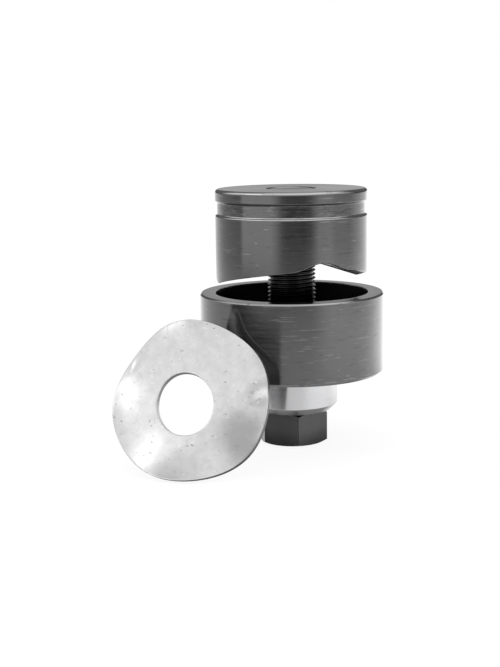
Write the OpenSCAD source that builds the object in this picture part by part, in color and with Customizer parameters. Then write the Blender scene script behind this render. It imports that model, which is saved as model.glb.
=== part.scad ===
// Screw-driven sheet-metal hole punch, standing on the hex head of its draw bolt,
// with the slug that it last cut leaning against the die.
// Origin: centre of the hex head's bottom face. +Z runs up the draw bolt.
// Azimuths are in degrees from the front (-Y) toward the right (+X).

/* [Punch] */
// Diameter of the punch, which is the size of the hole it cuts
punch_d = 60; // [45:0.5:80]
// Height of the punch from its top face to its cutting points
punch_h = 36.6; // [30:0.1:50]
// Radius of the rounded top edge
punch_round = 1.4; // [0.5:0.1:2.5]
// Depth of the groove below the top face, to its upper side
groove_top = 4.7; // [3:0.1:8]
// Width of the groove along the axis
groove_w = 5.6; // [3:0.1:8]
// Depth of the groove into the wall
groove_depth = 0.8; // [0.3:0.1:2]
// Slope of the groove's two sides, along the axis
groove_slope = 0.35; // [0.1:0.05:1]
// Rise of the shear edge from the cutting points to the valleys
shear_rise = 6.7; // [3:0.1:9]
// Further rise of the rounded notch in each valley
notch_rise = 3; // [0:0.1:4]
// Half angle of the notch
notch_half = 24; // [12:1:40]
// Azimuth of the first cutting point
point_left = -74; // [-90:1:-60]
// Azimuth of the second cutting point
point_right = 118; // [90:1:130]
// Azimuth of the first valley; the second is opposite
valley = 24; // [0:1:40]
// Rise of the hollow underside at the bore, above the cutting points
hub_rise = 10.1; // [9.8:0.1:13]
// How much wider than the thread the countersink at the bore's upper mouth is
csk_over = 1.75; // [0.6:0.05:4]

/* [Die] */
// Wall of the die round its mouth
die_wall = 6.15; // [4:0.05:12]
// Height of the die
die_h = 31.6; // [26:0.1:45]
// Depth of the cavity that swallows the slugs
cavity_depth = 22; // [15:0.5:24]
// Radial clearance between the punch and the die
die_clearance = 0.4; // [0.3:0.05:0.8]
// Chamfer inside the cutting mouth
mouth_edge = 0.2; // [0.1:0.05:0.5]
// Chamfer of the rim's outer edge
rim_edge = 0.6; // [0.3:0.1:1.5]
// Chamfer of the foot's outer edge
foot_edge = 1; // [0.3:0.1:2]

/* [Draw bolt] */
// Thread diameter of the draw bolt
bolt_d = 19.05; // [15.5:0.05:23]
// Thread pitch
thread_pitch = 1.5875; // [1:0.0125:2]
// Length of the thread from the bolt's end
thread_len = 56; // [40:1:70]
// How far the bolt's end stands below the punch's top face
bolt_sink = 0.3; // [0:0.1:10]
// Width of the hex head across its flats
hex_af = 25.4; // [24:0.1:30]
// Height of the hex head
hex_h = 13.1; // [8:0.1:18]
// Azimuth of one corner of the hex head
hex_turn = 10; // [0:1:59]
// Height of the bevel that breaks the hex head's corners, at a corner
hex_bevel = 1.1; // [0.3:0.1:2]
// Chamfer of the bolt's end
bolt_end = 1.3; // [0.5:0.1:2]

/* [Thrust bearing] */
// Radial width of the races, from the bolt's clearance to the shell's
race_w = 5.975; // [5.7:0.025:8]
// Height of the bearing between the hex head and the die
bearing_h = 15.8; // [14:0.1:22]
// Wall of the shell's skirt
shell_wall = 1.7; // [1.2:0.1:3]
// Chamfer of the shell's lower edge
shell_edge = 2.7; // [0.5:0.1:3.5]
// Thickness of each race
race_t = 4.2; // [3:0.1:5]
// Diameter of the balls
ball_d = 4.76; // [3.5:0.01:4.9]
// Number of balls
ball_n = 12; // [6:1:12]
// Depth of the ball groove in each race
race_groove = 0.9; // [0.5:0.05:1.2]
// Thickness of the ball cage
cage_t = 1.6; // [0.8:0.1:2]

/* [Slug] */
// Thickness of the sheet that was punched
slug_t = 3; // [0.8:0.1:3.4]
// Mean diameter of the pilot hole, which the cut has pulled oval
slug_hole_d = 22.8; // [20:0.1:24]
// How much longer and shorter than the mean the oval is, as a share
slug_hole_oval = 0.05; // [0:0.01:0.08]
// Direction of the oval's long axis, in degrees in the disc's plane
slug_hole_turn = 68; // [0:1:180]
// Pilot hole's place in the disc, across and up
slug_hole_at = [-1.5, -1.2];
// Bow of the rim that the shear edge left in the disc
slug_bow = 2.6; // [0:0.1:8]
// Direction of the forward bow, in degrees in the disc's plane
slug_bow_turn = 89; // [0:1:180]
// Forward curl of the rim at its lower side, and back at its upper side
slug_curl = 2.3; // [0:0.1:5]
// Direction of the forward curl
slug_curl_turn = 274; // [180:1:360]
// Height of the three-lobed wave in the rim
slug_three_wave = 1.5; // [0:0.1:3]
// Direction of its first crest
slug_three_turn = 114; // [0:1:120]
// Height of the four-lobed wave in the rim
slug_four_wave = 2.5; // [0:0.1:3]
// Direction of its first crest
slug_four_turn = 5; // [0:1:90]
// Place of the disc's middle, to the right of the bolt's axis
slug_x = -38.3; // [-50:0.1:-10]
// Turn of the disc's face toward the left
slug_turn = 13.5; // [-10:0.5:30]
// Lean of the disc, back against the die
slug_lean = 24.3; // [15:0.1:35]

/* [Fits] */
// Height of the cutting points above the die's rim
lift = 4.4; // [0:0.1:24]
// Radial running clearance of the thread in the punch
thread_play = 0.05; // [0.01:0.01:0.1]
// Radial clearance of the bolt in the die, the races and the cage
bolt_play = 0.45; // [0.3:0.05:0.8]
// Clearance between turning and still faces of the bearing
bearing_play = 0.35; // [0.3:0.05:0.6]
// Clearance round each ball in its grooves and pocket
ball_play = 0.05; // [0.01:0.01:0.1]
// Gap between the slug and the die that it leans on
slug_gap = 0.25; // [0.1:0.05:0.5]

/* [Hidden] */
$fn = 96;
wave_steps = 120;       // steps round the punch's shear edge
disc_steps = 72;        // steps round the slug
disc_rings = 5;         // rings across the slug

bearing_z = hex_h;                      // bottom of the bearing
die_z = bearing_z + bearing_h;          // bottom of the die
rim_z = die_z + die_h;                  // die's rim
points_z = rim_z + lift;                // cutting points
top_z = points_z + punch_h;             // top of the punch
bolt_r = bolt_d / 2;
bolt_hole_r = bolt_r + bolt_play;
punch_r = punch_d / 2;
die_bore_r = punch_r + die_clearance;
die_r = die_bore_r + die_wall;
race_out_r = bolt_hole_r + race_w;
shell_r = race_out_r + bearing_play + shell_wall;
pitch_r = (bolt_hole_r + race_out_r) / 2;
race_gap = ball_d - 2 * race_groove;    // between the two races
shell_floor = bearing_h - 2 * race_t - race_gap;
low_race_z = bearing_z + shell_floor;
ball_z = low_race_z + race_t + race_gap / 2;
thread_depth = 0.6134 * thread_pitch;   // unified thread, crest to root
slug_r = die_bore_r;        // a slug takes the size of the die's mouth

ball_names = [for (i = [1:ball_n]) str("bearing_ball_", i)];

// a point at radius r, azimuth a and height z
function at(r, a, z) = [r * sin(a), -r * cos(a), z];

// smallest turn between two azimuths
function apart(a, b) = let (d = abs(a - b) % 360) min(d, 360 - d);

// height of the shear edge above the cutting points at azimuth a, from -180 to 180
function edge_rise(a) =
    let (
        near = a >= point_left && a <= point_right,
        v = near ? valley : valley + 180,
        b = near ? a : (a < point_left ? a + 360 : a),
        p = near ? (b < v ? point_left : point_right) : (b < v ? point_right : point_left + 360),
        d = apart(b, v)
    )
    shear_rise * sin(90 * abs(b - p) / abs(v - p))
        + (d < notch_half ? notch_rise * (1 + cos(180 * d / notch_half)) / 2 : 0);

// what lies under the punch's hollow, wavy underside: a fan from the bore to past the edge
module shear_cutter() {
    n = wave_steps;
    over = 1.1;
    rim = [for (i = [0:n - 1]) let (a = -180 + 360 * i / n)
        at(punch_r * over, a, hub_rise + (edge_rise(a) - hub_rise) * over)];
    floor_z = -hub_rise - 5;
    low = [for (p = rim) [p.x, p.y, floor_z]];
    points = concat(rim, low, [[0, 0, hub_rise], [0, 0, floor_z]]);
    faces = concat(
        [for (i = [0:n - 1]) [i, 2 * n, (i + 1) % n]],
        [for (i = [0:n - 1]) [i, (i + 1) % n, n + (i + 1) % n]],
        [for (i = [0:n - 1]) [i, n + (i + 1) % n, n + i]],
        [for (i = [0:n - 1]) [n + i, n + (i + 1) % n, 2 * n + 1]]);
    translate([0, 0, points_z]) polyhedron(points, faces);
}

module punch() {
    groove_r = punch_r - groove_depth;
    groove_z = top_z - groove_top;
    csk_r = (bolt_d + csk_over) / 2;
    bore_r = bolt_r + thread_play;
    color("#4a4a4c") difference() {
        rotate_extrude() polygon(concat(
            [[bore_r, points_z - 1], [punch_r, points_z - 1],
                [punch_r, groove_z - groove_w], [groove_r, groove_z - groove_w + groove_slope],
                [groove_r, groove_z - groove_slope], [punch_r, groove_z]],
            [for (t = [0:15:90]) [punch_r - punch_round * (1 - cos(t)),
                top_z - punch_round * (1 - sin(t))]],
            [[csk_r, top_z], [bore_r, top_z - (csk_r - bore_r)]]));
        shear_cutter();
    }
}

module die() {
    color("#454547") rotate_extrude() polygon([
        [bolt_hole_r, die_z], [die_r - foot_edge, die_z], [die_r, die_z + foot_edge],
        [die_r, rim_z - rim_edge], [die_r - rim_edge, rim_z],
        [die_bore_r + mouth_edge, rim_z], [die_bore_r, rim_z - mouth_edge],
        [die_bore_r, rim_z - cavity_depth], [bolt_hole_r, rim_z - cavity_depth]]);
}

module draw_bolt() {
    end_z = top_z - bolt_sink;
    thread_z = end_z - thread_len;
    turns = floor(thread_len / thread_pitch) - 1;
    root_r = bolt_r - thread_depth;
    hex_r = hex_af / sqrt(3);
    color("#2a2a2c") {
        // hex head, its corners broken by a bevel at both ends
        rotate([0, 0, hex_turn - 90]) intersection() {
            cylinder(h = hex_h, r = hex_r, $fn = 6);
            rotate_extrude() polygon([[0, 0], [hex_r - hex_bevel * tan(60), 0], [hex_r, hex_bevel],
                [hex_r, hex_h - hex_bevel], [hex_r - hex_bevel * tan(60), hex_h], [0, hex_h]]);
        }
        // shank and ringed thread
        intersection() {
            rotate_extrude() polygon(concat(
                [[0, hex_h], [bolt_r, hex_h], [bolt_r, thread_z]],
                [for (i = [0:turns - 1], s = [0:3])
                    let (z = thread_z + i * thread_pitch,
                         along = [0.0625, 0.375, 0.625, 0.9375][s],
                         r = s == 0 || s == 3 ? bolt_r : root_r)
                    [r, z + along * thread_pitch]],
                [[bolt_r, end_z], [0, end_z]]));
            rotate_extrude() polygon([[0, hex_h], [bolt_r + 1, hex_h], [bolt_r + 1, end_z - bolt_end - 1],
                [bolt_r - bolt_end, end_z], [0, end_z]]);
        }
    }
}

module bearing_shell() {
    skirt_top = die_z - bearing_play;
    color("#c8c8c8") rotate_extrude() polygon([
        [bolt_hole_r, bearing_z], [shell_r - shell_edge, bearing_z],
        [shell_r, bearing_z + shell_edge], [shell_r, skirt_top - 0.3], [shell_r - 0.3, skirt_top],
        [shell_r - shell_wall, skirt_top], [shell_r - shell_wall, low_race_z],
        [bolt_hole_r, low_race_z]]);
}

// one ball race, its ball groove cut round the pitch circle
module race(z) {
    difference() {
        translate([0, 0, z]) cylinder(h = race_t, r = race_out_r);
        translate([0, 0, z - 1]) cylinder(h = race_t + 2, r = bolt_hole_r);
        translate([0, 0, ball_z]) rotate_extrude() translate([pitch_r, 0])
            circle(r = ball_d / 2 + ball_play);
    }
}

module bearing_upper_race() { color("#b4b4b8") race(die_z - race_t); }

module bearing_lower_race() { color("#b4b4b8") race(low_race_z); }

module bearing_cage() {
    color("#b08d4c") difference() {
        translate([0, 0, ball_z - cage_t / 2]) cylinder(h = cage_t, r = race_out_r);
        translate([0, 0, ball_z - cage_t]) cylinder(h = 2 * cage_t, r = bolt_hole_r);
        for (i = [1:ball_n]) translate(at(pitch_r, i * 360 / ball_n, ball_z - cage_t))
            cylinder(h = 2 * cage_t, r = ball_d / 2 + ball_play, $fn = 48);
    }
}

module bearing_ball(i) {
    color("#d0d0d4") translate(at(pitch_r, i * 360 / ball_n, ball_z)) sphere(d = ball_d, $fn = 48);
}

// the disc's own directions: across, up its face, and out of it toward the front
slug_across = [cos(slug_turn), -sin(slug_turn), 0];
slug_up = [sin(slug_turn) * sin(slug_lean), cos(slug_turn) * sin(slug_lean), cos(slug_lean)];
slug_out = [-sin(slug_turn) * cos(slug_lean), -cos(slug_turn) * cos(slug_lean), sin(slug_lean)];

// height of the bent disc over its own plane
function slug_bulge(x, y) =
    let (a = atan2(y, x), k = norm([x, y]) / slug_r)
    slug_bow * k ^ 2 * cos(2 * (a - slug_bow_turn))
    + slug_curl * k ^ 3 * cos(a - slug_curl_turn)
    + slug_three_wave * k ^ 3 * cos(3 * (a - slug_three_turn))
    + slug_four_wave * k ^ 4 * cos(4 * (a - slug_four_turn));

// ring j and step i of the disc, at depth d behind its face, before it is put in place
function slug_point(j, i, d) =
    let (
        a = 360 * i / disc_steps, k = j / disc_rings,
        rim = slug_r * [cos(a), sin(a)],
        hole_r = slug_hole_d / 2 * (1 + slug_hole_oval * cos(2 * (a - slug_hole_turn))),
        hole = slug_hole_at + hole_r * [cos(a), sin(a)],
        p = hole + (rim - hole) * k
    )
    p.x * slug_across + p.y * slug_up + (slug_bulge(p.x, p.y) - d) * slug_out;

slug_face = [for (j = [0:disc_rings], i = [0:disc_steps - 1]) slug_point(j, i, 0)];
slug_back = [for (j = [0:disc_rings], i = [0:disc_steps - 1]) slug_point(j, i, slug_t)];

// it stands on the ground that the hex head stands on
slug_z = -min([for (p = concat(slug_face, slug_back)) p.z]);
// and its back stops slug_gap short of the die
slug_stop_r = die_r + slug_gap;
slug_y = min([for (p = slug_back) let (x = p.x + slug_x, z = p.z + slug_z)
    if (abs(x) < slug_stop_r && z > die_z - 0.5) -sqrt(slug_stop_r * slug_stop_r - x * x) - p.y]);

module slug() {
    n = disc_steps;
    m = (disc_rings + 1) * n;       // points on one side
    last = disc_rings * n;
    faces = concat(
        [for (j = [0:disc_rings - 1], i = [0:n - 1]) let (k = (i + 1) % n)
            [j * n + i, j * n + k, j * n + n + k]],
        [for (j = [0:disc_rings - 1], i = [0:n - 1]) let (k = (i + 1) % n)
            [j * n + i, j * n + n + k, j * n + n + i]],
        [for (j = [0:disc_rings - 1], i = [0:n - 1]) let (k = (i + 1) % n)
            [m + j * n + i, m + j * n + n + k, m + j * n + k]],
        [for (j = [0:disc_rings - 1], i = [0:n - 1]) let (k = (i + 1) % n)
            [m + j * n + i, m + j * n + n + i, m + j * n + n + k]],
        [for (i = [0:n - 1]) let (k = (i + 1) % n) [last + i, last + k, m + last + k]],
        [for (i = [0:n - 1]) let (k = (i + 1) % n) [last + i, m + last + k, m + last + i]],
        [for (i = [0:n - 1]) let (k = (i + 1) % n) [i, m + k, k]],
        [for (i = [0:n - 1]) let (k = (i + 1) % n) [i, m + i, m + k]]);
    color("#d6d6d6") translate([slug_x, slug_y, slug_z])
        polyhedron(concat(slug_face, slug_back), faces);
}

die();
punch();
draw_bolt();
bearing_shell();
bearing_upper_race();
bearing_lower_race();
bearing_cage();
slug();
for (i = [1:ball_n]) bearing_ball(i);
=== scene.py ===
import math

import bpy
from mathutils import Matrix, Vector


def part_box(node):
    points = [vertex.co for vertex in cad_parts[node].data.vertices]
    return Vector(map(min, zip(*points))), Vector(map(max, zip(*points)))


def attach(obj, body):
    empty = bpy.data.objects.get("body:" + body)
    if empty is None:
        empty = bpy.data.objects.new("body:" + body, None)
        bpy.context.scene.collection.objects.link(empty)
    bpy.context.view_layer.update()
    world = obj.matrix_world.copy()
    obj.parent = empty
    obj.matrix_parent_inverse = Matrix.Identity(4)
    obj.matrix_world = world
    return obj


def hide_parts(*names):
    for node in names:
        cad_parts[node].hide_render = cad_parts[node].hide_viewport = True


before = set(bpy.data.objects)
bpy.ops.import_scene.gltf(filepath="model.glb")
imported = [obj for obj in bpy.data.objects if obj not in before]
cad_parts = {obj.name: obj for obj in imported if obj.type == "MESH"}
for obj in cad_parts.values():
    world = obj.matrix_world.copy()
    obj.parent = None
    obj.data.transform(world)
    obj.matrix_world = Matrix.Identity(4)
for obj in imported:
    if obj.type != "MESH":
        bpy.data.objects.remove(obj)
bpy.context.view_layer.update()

# %% [markdown]
# # A screw-driven hole punch for sheet metal
#
# The tool is a stack of turned steel pieces on one bolt. It stands on the bolt's hex head. Above the
# head come a bright ball bearing, a cup-shaped die and a heavy punch with a wavy cutting edge, and a
# disc that it has cut out of a steel sheet leans against the die.
# Nearly every piece is round, so the lesson is mostly about turning: an outline is drawn point by
# point and spun about the bolt's axis, as on a lathe. The pieces already have their sizes and places
# in the loaded frame, so each one is measured there first.

MM = 0.001                              # one millimetre in Blender's metres

die_low, die_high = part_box("die")
punch_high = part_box("punch")[1]
bolt_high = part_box("draw_bolt")[1]
shell_low, shell_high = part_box("bearing_shell")
slug_low, slug_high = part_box("slug")
print("tool height in mm:", round(punch_high.z / MM, 1))

# %% [markdown]
# An operator acts on everything that is selected, so each step starts from an empty selection. The
# lathe helper starts from a small plane and merges it to a single point. The point is moved to the
# start of the outline, extruded along it, and the whole chain is spun round the bolt's axis. Spinning
# can leave the faces pointing inwards and a double seam, so doubles are merged and normals are
# recalculated before anything else happens to the mesh.

# %% Helpers for selecting, turning and finishing
def nothing_selected():
    if bpy.context.mode != "OBJECT":
        bpy.ops.object.mode_set(mode="OBJECT")
    bpy.ops.object.select_all(action="DESELECT")


def only(piece):
    nothing_selected()
    piece.select_set(True)
    bpy.context.view_layer.objects.active = piece


def merge_doubles(threshold):
    bpy.ops.mesh.select_all(action="SELECT")
    bpy.ops.mesh.remove_doubles(threshold=threshold)


def face_outwards():
    bpy.ops.mesh.select_all(action="SELECT")
    bpy.ops.mesh.normals_make_consistent(inside=False)


def draw_chain(name, points):
    """Draws a chain through (radius, height) points, in mm, and leaves it in edit mode."""
    nothing_selected()
    bpy.ops.mesh.primitive_plane_add(size=MM, location=(0, 0, 0))
    piece = bpy.context.active_object
    piece.name = piece.data.name = name
    bpy.ops.object.mode_set(mode="EDIT")
    bpy.ops.mesh.merge(type="CENTER")
    at = (0.0, 0.0)
    for i, (radius, height) in enumerate(points):
        step = ((radius - at[0]) * MM, 0, (height - at[1]) * MM)
        if i == 0:
            bpy.ops.transform.translate(value=step)
        else:
            bpy.ops.mesh.extrude_region_move(TRANSFORM_OT_translate={"value": step})
        at = (radius, height)
    return piece


def turn_on_lathe(name, outline, steps=192):
    """Spins an outline about the bolt's axis. A closed outline makes a ring."""
    piece = draw_chain(name, outline)
    merge_doubles(1e-7)
    bpy.ops.mesh.select_all(action="SELECT")
    bpy.ops.mesh.spin(steps=steps, angle=2 * math.pi, center=(0, 0, 0), axis=(0, 0, 1))
    merge_doubles(1e-6)
    face_outwards()
    bpy.ops.object.mode_set(mode="OBJECT")
    return piece


def use_modifier(piece, kind, **settings):
    """Adds one modifier with these settings and applies it."""
    only(piece)
    modifier = piece.modifiers.new(kind.title(), kind)
    for key, value in settings.items():
        setattr(modifier, key, value)
    bpy.ops.object.modifier_apply(modifier=modifier.name)


def break_edges(piece, width, segments=3, angle=28):
    """Rounds every edge sharper than angle by a fraction of a millimetre."""
    use_modifier(piece, "BEVEL", width=width * MM, segments=segments, limit_method="ANGLE",
                 angle_limit=math.radians(angle), use_clamp_overlap=True)


def raise_points(piece, rule):
    """Moves each point along Z by rule(point) in mm, with a weight group and a Displace modifier."""
    rises = [rule(v.co / MM) for v in piece.data.vertices]
    low, span = min(rises), (max(rises) - min(rises)) or 1
    group = piece.vertex_groups.new(name="rise")
    for i, rise in enumerate(rises):
        group.add([i], (rise - low) / span, "REPLACE")
    use_modifier(piece, "DISPLACE", direction="Z", strength=span * MM, mid_level=0,
                 vertex_group="rise")
    piece.vertex_groups.clear()
    only(piece)
    piece.location.z += low * MM
    bpy.ops.object.transform_apply(location=True, rotation=False, scale=False)


def finish_piece(piece, node, body, material):
    """Smooths a piece, gives it its material and puts it in the place of its CAD node."""
    only(piece)
    bpy.ops.object.transform_apply(location=True, rotation=True, scale=True)
    bpy.ops.object.shade_smooth_by_angle(angle=math.radians(40))
    use_modifier(piece, "WEIGHTED_NORMAL", weight=50, keep_sharp=True)
    piece.data.materials.clear()
    piece.data.materials.append(material)
    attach(piece, body)
    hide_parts(node)
    size = [round(v / MM, 1) for v in piece.dimensions]
    print(f"{piece.name}: {len(piece.data.polygons)} faces, {size} mm")


print("mesh helpers are ready")


# %% [markdown]
# ## Finishes
#
# The black pieces are turned steel with a black oxide finish: a dark, slightly soft mirror that still
# shows the lathe's fine rings. The rings run round the axis on walls and on flat ends alike, so their
# pattern is made from the distance to the axis and the height, and changes only slowly round it. That
# is a four-dimensional noise, because direction takes two numbers, height the third and radius the
# fourth. It is one group, because the punch, the die, the bolt and the bearing all need it.

# %% A small kit for wiring shader nodes
class Wiring:
    """Adds nodes to a tree and links them, so that a material reads from top to bottom."""

    def __init__(self, tree):
        self.tree = tree

    def add(self, kind, inputs=None, **settings):
        node = self.tree.nodes.new(kind)
        for key, value in settings.items():
            setattr(node, key, value)
        for key, value in (inputs or {}).items():
            self.feed(node.inputs[key], value)
        return node

    def feed(self, socket, value):
        if isinstance(value, bpy.types.NodeSocket):
            self.tree.links.new(value, socket)
        else:
            socket.default_value = value

    def math(self, operation, a, b=0.0, clamp=False):
        node = self.add("ShaderNodeMath", operation=operation, use_clamp=clamp)
        self.feed(node.inputs[0], a)
        self.feed(node.inputs[1], b)
        return node.outputs[0]

    def times(self, a, b, clamp=False):
        return self.math("MULTIPLY", a, b, clamp)

    def plus(self, a, b, clamp=False):
        return self.math("ADD", a, b, clamp)

    def place(self):
        return self.add("ShaderNodeTexCoord").outputs["Object"]

    def z_of(self, vector):
        return self.add("ShaderNodeSeparateXYZ", {"Vector": vector}).outputs[2]

    def length(self, vector):
        return self.add("ShaderNodeVectorMath", {0: vector}, operation="LENGTH").outputs["Value"]

    def noise(self, place, scale, detail, roughness=0.5):
        return self.add("ShaderNodeTexNoise", {"Vector": place, "Scale": scale, "Detail": detail,
                                               "Roughness": roughness}).outputs["Fac"]

    def remap(self, value, low, high, to_low=0.0, to_high=1.0, smooth=False):
        return self.add("ShaderNodeMapRange", {"Value": value, "From Min": low, "From Max": high,
                                               "To Min": to_low, "To Max": to_high},
                        interpolation_type="SMOOTHSTEP" if smooth else "LINEAR").outputs[0]

    def mix_colour(self, factor, a, b):
        node = self.add("ShaderNodeMix", data_type="RGBA")
        self.feed(node.inputs["Factor"], factor)
        self.feed(node.inputs[6], a)
        self.feed(node.inputs[7], b)
        return node.outputs[2]


def new_group(name, inputs, outputs):
    """A node group with named float inputs (and their usual values) and named outputs."""
    group = bpy.data.node_groups.new(name, "ShaderNodeTree")
    for label, value in inputs.items():
        socket = group.interface.new_socket(label, in_out="INPUT", socket_type="NodeSocketFloat")
        socket.default_value = value
    for label in outputs:
        group.interface.new_socket(label, in_out="OUTPUT", socket_type="NodeSocketFloat")
    wiring = Wiring(group)
    return group, wiring, wiring.add("NodeGroupInput").outputs, wiring.add("NodeGroupOutput").inputs


def new_material(name):
    """An empty material, and the wiring that fills it."""
    material = bpy.data.materials.new(name)
    material.use_nodes = True
    material.node_tree.nodes.clear()
    return material, Wiring(material.node_tree)


def grey(level):
    return (level, level, level, 1)


print("shader helpers are ready")


# %% The lathe's rings
LANE_SHIFT = (7.3, 3.7)                 # gives each streak its own part of the noise
STREAK_SOFTNESS = 0.12


def make_turning_marks():
    group, w, given, made = new_group(
        "turning marks",
        {"Rings per metre": 9000.0, "Streaks per metre": 2400.0, "Breaks round": 3.5,
         "Streak share": 0.5},
        ["Rings", "Light streaks", "Dark streaks"])
    place = w.place()
    x, y, z = w.add("ShaderNodeSeparateXYZ", {"Vector": place}).outputs
    radius = w.math("SQRT", w.plus(w.times(x, x), w.times(y, y)))
    safe_radius = w.math("MAXIMUM", radius, 1e-5)
    side = w.math("DIVIDE", x, safe_radius)
    front = w.math("DIVIDE", y, safe_radius)

    def round_noise(density, breaks, detail, shift=0.0):
        """Noise that is dense along the axis and the radius, and changes slowly round the axis."""
        spot = w.add("ShaderNodeCombineXYZ", {
            "X": w.plus(w.times(side, breaks), shift),
            "Y": w.times(front, breaks), "Z": w.times(z, density)})
        return w.add("ShaderNodeTexNoise",
                     {"Vector": spot.outputs[0], "W": w.times(radius, density),
                      "Scale": 1.0, "Detail": detail, "Roughness": 0.6},
                     noise_dimensions="4D").outputs["Fac"]

    breaks = given["Breaks round"]
    fine = round_noise(given["Rings per metre"], breaks, 3.0)
    wide = round_noise(w.times(given["Rings per metre"], 0.1), 0.8, 2.0, 7.0)
    w.feed(made["Rings"], w.plus(w.times(fine, 0.6), w.times(wide, 0.4)))
    line = w.times(w.plus(z, radius), given["Streaks per metre"])
    lane = w.math("FLOOR", line)
    spot = w.add("ShaderNodeCombineXYZ", {
        "X": w.plus(w.times(side, breaks), w.times(lane, LANE_SHIFT[0])),
        "Y": w.times(front, breaks), "Z": w.times(lane, LANE_SHIFT[1])})
    dashes = w.noise(spot.outputs[0], 1.0, 2.0, 0.6)
    within = w.math("PINGPONG", line, 0.5)
    thin = w.remap(within, 0.0, 0.3, smooth=True)
    cloud = w.noise(place, 70.0, 2.0)
    patchy = w.remap(cloud, 0.35, 0.6, 0.15, 1.0, smooth=True)
    edge = w.math("SUBTRACT", 0.72, w.times(given["Streak share"], 0.2))
    soft_edge = w.plus(edge, STREAK_SOFTNESS)
    light = w.remap(dashes, edge, soft_edge, smooth=True)
    w.feed(made["Light streaks"], w.times(w.times(light, patchy), thin))
    dark = w.remap(w.math("SUBTRACT", 1.0, dashes), edge, soft_edge, smooth=True)
    w.feed(made["Dark streaks"], w.times(dark, thin))
    return group


turning_marks = make_turning_marks()
print("group:", turning_marks.name)


# %% [markdown]
# Oxide and oil wear off first where hands and sheet metal rub: on the edges that face up, and on the
# die also at the foot. On a turned piece the walls are upright and the ends are flat, so a surface that
# tilts between the two is an edge, and the normal's height tells how much. For edges that were left
# sharp, a Bevel node rounds the shading normal, and where it leaves the true one there is an edge. The
# group breaks both bands up with noise, so wear comes and goes along each edge.

# %% Worn edges
def make_worn_edges():
    group, w, given, made = new_group(
        "worn edges", {"Width": 0.0004, "Patchiness": 0.16, "Downward": 0.0}, ["Wear"])
    place = w.add("ShaderNodeTexCoord")
    tilt = w.z_of(place.outputs["Normal"])
    down = w.times(w.times(tilt, -1.0), given["Downward"])
    tilt = w.math("MAXIMUM", tilt, down)
    off_wall = w.remap(tilt, 0.12, 0.4)
    off_end = w.remap(tilt, 0.985, 0.93)
    turned = w.times(off_wall, off_end)
    soft = w.add("ShaderNodeBevel", {"Radius": given["Width"]}, samples=4)
    true = w.add("ShaderNodeNewGeometry").outputs["Normal"]
    same = w.add("ShaderNodeVectorMath", {0: soft.outputs[0], 1: true},
                 operation="DOT_PRODUCT").outputs["Value"]
    sharp = w.remap(w.math("SUBTRACT", 1.0, same), 0.01, 0.1)
    patches = w.noise(place.outputs["Object"], 260.0, 4.0)
    patchiness = given["Patchiness"]
    gate = w.remap(patches, patchiness, w.plus(patchiness, 0.2))
    worn = w.math("MAXIMUM", turned, sharp)
    w.feed(made["Wear"], w.times(worn, gate, clamp=True))
    return group


worn_edges = make_worn_edges()
print("group:", worn_edges.name)


# %% [markdown]
# Specks are the small bits that any used steel has: dust, a touch of rust, a dent. They are the
# centres of scattered cells, of which only a share is kept, so they never form an even pattern. A fine
# noise pulls the cells about, which gives each speck a ragged outline.

# %% Specks
RAGGEDNESS = (0.0034, 0.0034, 0.0016)   # how far the noise pulls the cells, in metres


def make_specks():
    group, w, given, made = new_group(
        "specks", {"Cells per metre": 700.0, "Size": 0.2, "Share": 0.4}, ["Specks"])
    place = w.place()
    ragged = w.add("ShaderNodeTexNoise", {"Vector": place, "Scale": 1400.0,
                                          "Detail": 2.0}).outputs["Color"]
    place = w.add("ShaderNodeVectorMath", {0: ragged, 1: RAGGEDNESS, 2: place},
                  operation="MULTIPLY_ADD").outputs[0]
    cells = w.add("ShaderNodeTexVoronoi", {"Vector": place, "Scale": given["Cells per metre"]})
    dots = w.remap(cells.outputs["Distance"], given["Size"], w.times(given["Size"], 0.5), smooth=True)
    chance = w.add("ShaderNodeSeparateColor", {"Color": cells.outputs["Color"]}).outputs[0]
    kept = w.math("LESS_THAN", chance, given["Share"])
    w.feed(made["Specks"], w.times(dots, kept))
    return group


specks = make_specks()
print("group:", specks.name)


# %% [markdown]
# One recipe makes every turned steel finish, with its own colour, polish and amount of marks. It is a
# fully metallic Principled shader. A lathe's rings stretch reflections along the axis, so the shader
# is anisotropic round Z: this gives the tall vertical bands that turned cylinders show. Two things are
# extra. The punch is rubbed inside its groove, and the bolt's thread is black with oil; the bolt's foot
# is also darkened towards the floor, which is painted shade.

# %% Rubbed and oily places, and painted shade at the foot
OILED_FROM = 0.040                      # the bolt's thread is black with oil above this height
OIL_AND_SHADE_BLEND = 0.002
RUB_BLEND = 0.0004


def add_rubs(w, colour, cloud, walls, bare_steel, shade):
    """Rubs a wall between two heights light and dark, where the cloud lets it."""
    foot, head = walls
    place = w.place()
    height = w.z_of(place)
    band = w.times(w.remap(height, foot, foot + RUB_BLEND, smooth=True),
                   w.remap(height, head, head - RUB_BLEND, smooth=True))
    band = w.times(band, w.remap(cloud, 0.42, 0.58, 0.15, 1.0, smooth=True))
    flat = w.add("ShaderNodeMapping", {"Vector": place, "Scale": (1.0, 1.0, 4.5)})
    rubs = w.noise(flat.outputs[0], 330.0, 3.0, 0.6)
    light_rub = w.times(w.remap(rubs, 0.54, 0.68, 0.0, 0.10, smooth=True), band)
    dark_rub = w.times(w.remap(rubs, 0.5, 0.36, 0.0, 0.45, smooth=True), band)
    return w.mix_colour(dark_rub, w.mix_colour(light_rub, colour, bare_steel), shade)


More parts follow.
